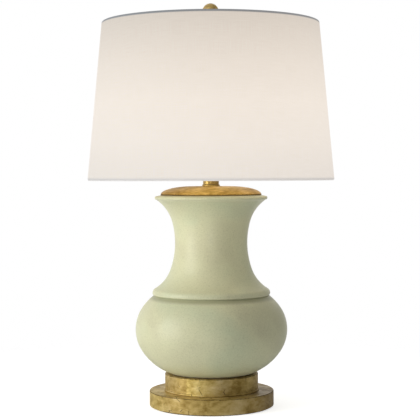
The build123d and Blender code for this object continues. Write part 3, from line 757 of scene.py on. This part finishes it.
def buildRibTree():
    tree, given = startTree("gripRibs", {
        "Count": "Int", "Spacing": "Float", "Length": "Float", "Radius": "Float",
        "Upper": "Vector", "Lower": "Vector", "Finish": "Material"})
    half = times(tree, given["Length"], 0.5)
    start, end = (put(tree, "ShaderNodeCombineXYZ", {0: times(tree, half, side)}).outputs[0]
                  for side in (-1, 1))
    line = put(tree, "GeometryNodeCurvePrimitiveLine", {"Start": start, "End": end}).outputs[0]
    fine = {"Curve": line, "Count": ribLook["steps"]}
    line = put(tree, "GeometryNodeResampleCurve", fine).outputs[0]
    along = put(tree, "GeometryNodeSplineParameter").outputs["Factor"]
    off = maths(tree, "ABSOLUTE", minus(tree, times(tree, along, 2.0), 1.0))
    # full thickness along most of the rib, drawn in to a small flat at each end
    full = maths(tree, "SQRT", minus(tree, 1.02, maths(tree, "POWER", off, 6.0)))
    circle = {"Resolution": ribLook["sides"], "Radius": given["Radius"]}
    ring = put(tree, "GeometryNodeCurvePrimitiveCircle", circle).outputs[0]
    sweep = {"Curve": line, "Profile Curve": ring, "Scale": full, "Fill Caps": True}
    tube = put(tree, "GeometryNodeCurveToMesh", sweep).outputs[0]
    joined = put(tree, "GeometryNodeJoinGeometry")
    step = put(tree, "ShaderNodeCombineXYZ", {1: times(tree, given["Spacing"], -1.0)}).outputs[0]
    for side in ("Upper", "Lower"):
        places = {"Count": given["Count"], "Start Location": given[side], "Offset": step}
        row = put(tree, "GeometryNodeMeshLine", places).outputs[0]
        ribs = put(tree, "GeometryNodeInstanceOnPoints", {"Points": row, "Instance": tube})
        tree.links.new(ribs.outputs[0], joined.inputs[0])
    return finishTree(tree, joined.outputs[0], given["Finish"])


keyLow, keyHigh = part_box("switch_key")
keyMiddle = (keyLow[2] + keyHigh[2]) / 2
keyHalf = ribLook["flatHalf"] * mm
keyRow = keyLow[1] + (ribLook["first"] + ribLook["spacing"] * (ribLook["count"] - 1)) * mm
ribs = newPiece("keyRibs")
shapeBy(ribs, buildRibTree(), {
    "Count": ribLook["count"], "Spacing": ribLook["spacing"] * mm, "Length": ribLook["length"] * mm,
    "Radius": ribLook["radius"] * mm, "Upper": (0.0, keyRow, keyMiddle + keyHalf),
    "Lower": (0.0, keyRow, keyMiddle - keyHalf), "Finish": mouldedBlack})
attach(ribs, "switch")
print("switch key ribbed:", len(ribs.data.polygons), "faces")

# linen cover: one cut of cloth round the cone, its edges rolled round both wire rings
shadeLook = {
    "bottomReach": 215.9,
    "topReach": 190.5,
    "thickness": 0.6,
    "roll": 2.6,
    "rollStep": 15,
    "segments": 220,
    "wallRows": 34,
    "unevenness": 0.0005,
    "drift": 11.0,
    "seed": 7.0,
    "seamWidth": 13.0,
    "seamThick": 0.55,
    "seamSunk": 0.05,
    "seamSheet": 0.0003,
    "seamSection": ((-0.5, 0.0), (-0.47, 0.75), (-0.36, 1.0), (-0.12, 1.0), (0.12, 1.0), (0.36, 1.0),
                    (0.47, 0.75), (0.5, 0.0)),
    "seamTurn": 0.26,
    "hem": 16.0,
}
linenLook = {
    "thread": (0.45, 0.45, 0.45),
    "slub": (0.425, 0.423, 0.417),
    "overRing": (0.70, 0.705, 0.725),
    "threadScale": (30.0, 1300.0),
    "weftShare": 0.55,
    "warpShare": 0.45,
    "cloudScale": 9.0,
    "cloudMost": 0.08,
    "glowTop": (1.0, 0.865, 0.725),
    "glowBottom": (1.0, 0.902, 0.802),
    "glowByHeight": ((0.0, 0.62), (0.06, 0.63), (0.235, 0.685), (0.47, 0.715), (0.7, 0.66),
                     (0.873, 0.585), (1.0, 0.52)),
    "glowWeave": 0.03,
    "topRingFade": (0.0050, 0.0030),
    "bottomRingFade": (0.0020, 0.0060),
    "bottomRingDim": 0.5,
    "throughSeam": 0.86,
    "rough": 0.9,
    "sheen": 0.1,
    "specular": 0.2,
}
shadeLow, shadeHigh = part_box("shade_linen")[0][2] / mm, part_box("shade_linen")[1][2] / mm
shadeDrop = shadeHigh - shadeLow
shadeLean = shadeLook["bottomReach"] - shadeLook["topReach"]
shadeSlant = math.hypot(shadeDrop, shadeLean)
coneSine, coneCosine = shadeLean / shadeSlant, shadeDrop / shadeSlant
clothHalf = shadeLook["thickness"] / 2


def onWall(up, inwards):
    return (shadeLook["bottomReach"] - up * coneSine - inwards * coneCosine,
            shadeLow + up * coneCosine - inwards * coneSine)


# the cloth's middle line and its outward side, along the wall and round the rings
def linenRun():
    look = shadeLook
    roll, mid = look["roll"], look["roll"] - clothHalf
    run = []

    def roundRing(up, first, stop):
        for turn in range(first, stop, look["rollStep"]):
            side = (math.cos(math.radians(turn)), math.sin(math.radians(turn)))
            run.append(((up + mid * side[0], roll + mid * side[1]), side))

    roundRing(roll, -360, -90)
    for row in range(look["wallRows"] + 1):
        up = roll + (shadeSlant - 2 * roll) * row / look["wallRows"]
        run.append(((up, clothHalf), (0.0, -1.0)))
    roundRing(shadeSlant - roll, -75, 195)
    return run


def linenMaterial(name, through=1.0):
    look = linenLook
    made, tree, shader, where = startMaterial(name)
    flat = put(tree, "ShaderNodeUVMap", None, uv_map="clothLay").outputs[0]
    height = heightOf(tree, where)
    along, across = look["threadScale"]
    weft = noise(tree, stretched(tree, flat, (along, across, 1.0)), 1.0, 2.0, 0.5)
    warp = noise(tree, stretched(tree, flat, (across, along, 1.0)), 1.0, 2.0, 0.5)
    cloth = plus(tree, times(tree, weft, look["weftShare"]), times(tree, warp, look["warpShare"]))
    cloud = noise(tree, flat, look["cloudScale"], 2.0)
    color = mix(tree, spread(tree, cloth, 0.38, 0.62), look["slub"], look["thread"])
    color = mix(tree, spread(tree, cloud, 0.35, 0.65, 0.0, look["cloudMost"]), color, look["slub"])
    top, bottom = shadeHigh * mm, shadeLow * mm
    share = spread(tree, height, bottom, top, curve="LINEAR")
    # the cloth's glow is painted light from the bulb inside, strongest about mid height and dimmer
    # towards the top
    strength = ramp(tree, share, [(place, (value,) * 3) for place, value in look["glowByHeight"]])
    glow = mix(tree, share, look["glowBottom"], look["glowTop"])
    # no light shines through at the top ring, and half of it at the bottom one
    topRing = spread(tree, height, *(top - drop for drop in look["topRingFade"]))
    bottomRing = spread(tree, height, *(bottom + rise for rise in look["bottomRingFade"]), 1.0, 0.0)
    kept = minus(tree, 1.0, times(tree, bottomRing, look["bottomRingDim"]))
    strength = times(tree, times(tree, strength, minus(tree, 1.0, topRing)), kept)
    low, high = ((1.0 + side * look["glowWeave"]) * through for side in (-1, 1))
    strength = times(tree, strength, spread(tree, cloth, 0.36, 0.64, low, high))
    color = mix(tree, maths(tree, "MAXIMUM", topRing, bottomRing), color, look["overRing"])
    setShader(tree, shader, color=color, rough=look["rough"], sheen=look["sheen"],
              specular=look["specular"], normal=bumped(tree, cloth, 0.2, 0.0005), glow=glow,
              glowStrength=strength)
    return made


# the cloth's own lay: where each point was on the flat cut, its middle at the front
def layFlat(piece):
    mesh = piece.data
    layer = mesh.uv_layers.new(name="clothLay")
    for polygon in mesh.polygons:
        turns = []
        for loop in polygon.loop_indices:
            x, y, _ = mesh.vertices[mesh.loops[loop].vertex_index].co
            turns.append((loop, math.hypot(x, y), math.atan2(x, -y)))
        wraps = max(t[2] for t in turns) - min(t[2] for t in turns) > math.pi
        for loop, distance, turn in turns:
            turn += fullTurn if wraps and turn < 0 else 0.0
            slant = distance / coneSine
            layer.data[loop].uv = (slant * math.sin(turn * coneSine), slant * math.cos(turn * coneSine))


run = linenRun()
outer = [onWall(p[0] + n[0] * clothHalf, p[1] + n[1] * clothHalf) for p, n in run]
inner = [onWall(p[0] - n[0] * clothHalf, p[1] - n[1] * clothHalf) for p, n in run]
linen = turned("linenCover", outer + inner[::-1] + outer[:1], linenMaterial("linenCover"),
               Segments=shadeLook["segments"], Unevenness=shadeLook["unevenness"],
               Drift=shadeLook["drift"], Seed=shadeLook["seed"])
layFlat(linen)


# lap seam down the back, glued over the join
def makeSeam():
    look = shadeLook
    # it stops where the cloth turns inwards
    stations = [item for item in run if item[1][1] <= look["seamTurn"]]
    points = []
    for place, side in stations:
        for share, rise in look["seamSection"]:
            out = clothHalf + look["seamThick"] * rise - look["seamSunk"]
            distance, level = onWall(place[0] + side[0] * out, place[1] + side[1] * out)
            angle = math.pi / 2 + share * look["seamWidth"] / distance
            points.append((distance * math.cos(angle) * mm, distance * math.sin(angle) * mm, level * mm))
    wide = len(look["seamSection"])
    faces = [(r * wide + c, r * wide + c + 1, (r + 1) * wide + c + 1, (r + 1) * wide + c)
             for r in range(len(stations) - 1) for c in range(wide - 1)]
    seam = newPiece("linenSeam", points, (), faces)
    seam.data.materials.append(linenMaterial("linenLap", linenLook["throughSeam"]))
    for polygon in seam.data.polygons:
        polygon.use_smooth = True
    solid = seam.modifiers.new("cloth", "SOLIDIFY")
    solid.thickness = look["seamSheet"]
    solid.offset = -1.0
    settle(seam, sharpFrom=60)
    layFlat(seam)
    return seam


seam = makeSeam()
for piece in (linen, seam):
    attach(piece, "shade")
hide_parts("shade_linen")
print("linen cover done:", len(linen.data.polygons), "faces")

# lining, with a painted glow where the bulb lights it, and the bulb, lit
linerLook = {
    "dark": (0.76, 0.74, 0.70),
    "light": (0.82, 0.80, 0.77),
    "toneScale": 40.0,
    "glow": (1.0, 0.85, 0.66),
    "strength": (0.22, 0.46),
    "peakLevel": 0.51,
    "peakHalf": 0.2,
    "rough": 0.6,
}
bulbLook = {
    "dark": (0.40, 0.38, 0.33),
    "light": (0.46, 0.44, 0.39),
    "frostScale": 700.0,
    "glow": (1.0, 0.84, 0.60),
    "strength": (0.25, 0.56),
    "rise": 0.03,
    "rough": 0.45,
}


def linerMaterial():
    look = linerLook
    made, tree, shader, where = startMaterial("shadeLining")
    tone = noise(tree, where, look["toneScale"], 4.0)
    color = mix(tree, spread(tree, tone, 0.3, 0.7), look["dark"], look["light"])
    # painted glow, strongest near the bulb's height
    lit = band(tree, heightOf(tree, where), look["peakLevel"], look["peakHalf"])
    strength = spread(tree, lit, 0.0, 1.0, *look["strength"], "LINEAR")
    setShader(tree, shader, color=color, rough=look["rough"], normal=bumped(tree, tone, 0.1, 0.0006),
              glow=look["glow"], glowStrength=strength)
    return made


def bulbMaterial():
    look = bulbLook
    made, tree, shader, where = startMaterial("frostedBulb")
    frost = noise(tree, where, look["frostScale"], 2.0)
    strength = spread(tree, heightOf(tree, where), capHigh, capHigh + look["rise"], *look["strength"])
    setShader(tree, shader, color=mix(tree, frost, look["dark"], look["light"]), rough=look["rough"],
              normal=bumped(tree, frost, 0.1, 0.0002), glow=look["glow"], glowStrength=strength)
    return made


dress(linerMaterial(), "shade_liner")
dress(bulbMaterial(), "bulb_globe")
print("shade and bulb done")

# stage: pale floor that fades into a white surround
stageLook = {
    "reach": 0.9,
    "fade": (0.35, 0.89),
    "tone": (0.9, 0.9, 0.895),
    "lift": 0.66,
    "bounce": (0.30, 0.06),
    "bounceReach": 0.3,
    "mirrored": 0.35,
    "ambient": 0.37,
    "brightSide": (0.5, 0.68, 0.25),
    "lean": 0.42,
    "dimSide": (0.95, -0.3, 0.0),
    "dimRange": (-0.1, 0.6),
    "dimRight": 0.15,
}


def seenDirectly(tree):
    path = put(tree, "ShaderNodeLightPath").outputs
    mirrored = maths(tree, "MAXIMUM", path["Is Glossy Ray"], path["Is Transmission Ray"])
    return maths(tree, "MAXIMUM", path["Is Camera Ray"], mirrored), path["Is Glossy Ray"]


def makeFloor():
    look = stageLook
    floor = newPiece("floor")
    disc = bmesh.new()
    bmesh.ops.create_circle(disc, cap_ends=True, cap_tris=False, segments=96, radius=look["reach"])
    disc.to_mesh(floor.data)
    disc.free()
    made, tree, shader, where = startMaterial("paleFloor")
    out = next(n for n in tree.nodes if n.type == "OUTPUT_MATERIAL")
    setShader(tree, shader, color=look["tone"], rough=0.9, specular=0.1)
    seen, glossy = seenDirectly(tree)
    # less comes back from the shadow's side
    bounce = spread(tree, split(tree, where)[0], -look["bounceReach"], look["bounceReach"],
                    *look["bounce"], "LINEAR")
    lift = spread(tree, seen, 0.0, 1.0, bounce, look["lift"], "LINEAR")
    lifted = put(tree, "ShaderNodeEmission", {"Strength": lift}).outputs[0]
    lit = put(tree, "ShaderNodeAddShader", {0: shader.outputs[0], 1: lifted}).outputs[0]
    dark = put(tree, "ShaderNodeEmission", {"Strength": 0.0}).outputs[0]
    lost = times(tree, glossy, 1.0 - look["mirrored"])
    lit = put(tree, "ShaderNodeMixShader", {0: lost, 1: lit, 2: dark}).outputs[0]
    clear = put(tree, "ShaderNodeBsdfTransparent").outputs[0]
    fade = spread(tree, reachOf(tree, where), *look["fade"])
    both = put(tree, "ShaderNodeMixShader", {0: fade, 1: lit, 2: clear}).outputs[0]
    tree.links.new(both, out.inputs[0])
    floor.data.materials.append(made)


# white to the eye, lights the lamp most from the back right, and mirrors dimmer on the right
def makeWorld():
    look = stageLook
    world = bpy.data.worlds.new("studio")
    scene.world = world
    world.use_nodes = True
    tree = world.node_tree
    tree.nodes.clear()
    seen, glossy = seenDirectly(tree)
    toward = put(tree, "ShaderNodeTexCoord").outputs["Generated"]

    def facing(side):
        made = put(tree, "ShaderNodeVectorMath", {0: toward, 1: side}, operation="DOT_PRODUCT")
        return made.outputs["Value"]

    dim = spread(tree, facing(look["dimSide"]), *look["dimRange"], 1.0, look["dimRight"])
    lean = plus(tree, times(tree, facing(look["brightSide"]), look["lean"]), 1.0)
    ambient = times(tree, lean, look["ambient"])
    strength = spread(tree, seen, 0.0, 1.0, ambient, 1.0, "LINEAR")
    shaded = times(tree, strength, spread(tree, glossy, 0.0, 1.0, 1.0, 0.0, "LINEAR"))
    strength = plus(tree, shaded, times(tree, glossy, dim))
    back = put(tree, "ShaderNodeBackground", {"Color": white, "Strength": strength})
    tree.links.new(back.outputs[0], put(tree, "ShaderNodeOutputWorld").inputs[0])


softbox = {
    "place": (-1.55, -0.72, 0.5),
    "target": (0.0, 0.0, 0.33),
    "size": (1.0, 1.5),
    "spread": 150.0,
}
lampLook = {
    "softboxLeft": {**softbox, "power": 15.3, "color": (1.0, 0.978, 0.962)},
    "softboxSpill": {**softbox, "power": 2.8, "color": (0.72, 0.9, 1.0)},
    "lowFill": {"place": (-0.1, -1.5, 0.03), "target": (0.0, 0.0, 0.36), "size": (0.4, 0.3),
                "spread": 17.0, "power": 0.058, "color": (1.0, 0.99, 0.97)},
}


def makeLamp(name, look):
    light = bpy.data.lights.new(name, "AREA")
    light.shape = "RECTANGLE"
    light.size, light.size_y = look["size"]
    light.energy = look["power"]
    light.color = look["color"]
    light.spread = math.radians(look["spread"])
    made = bpy.data.objects.new(name, light)
    made.location = look["place"]
    aim = Vector(look["target"]) - Vector(look["place"])
    made.rotation_euler = aim.to_track_quat("-Z", "Y").to_euler()
    scene.collection.objects.link(made)
    return made


# the softbox is flagged off the shade, which shines by itself
def flagOff(lamp, *shielded):
    flagged = bpy.data.collections.new(lamp.name + "Flagged")
    for piece in shielded:
        flagged.objects.link(piece)
    for item in flagged.collection_objects:
        item.light_linking.link_state = "EXCLUDE"
    lamp.light_linking.receiver_collection = flagged


makeFloor()
makeWorld()
lamps = {name: makeLamp(name, look) for name, look in lampLook.items()}
flagOff(lamps["softboxLeft"], linen, seam)

# camera: level, a little above the vase's lip, framed by shift
cameraLook = {
    "place": (-0.0017, -2.24, 0.4055),
    "sensor": 36.0,
    "lens": 109.3,
    "shiftY": -0.0852,
    "roll": 0.18,
}
camera = bpy.data.cameras.new("camera")
camera.sensor_fit = "HORIZONTAL"
camera.sensor_width = cameraLook["sensor"]
camera.lens = cameraLook["lens"]
camera.shift_y = cameraLook["shiftY"]
cameraObject = bpy.data.objects.new("camera", camera)
cameraObject.location = cameraLook["place"]
cameraObject.rotation_euler = (math.radians(90), math.radians(cameraLook["roll"]), 0)
scene.collection.objects.link(cameraObject)
scene.camera = cameraObject
scene.view_settings.view_transform = "Standard"
print("stage done")
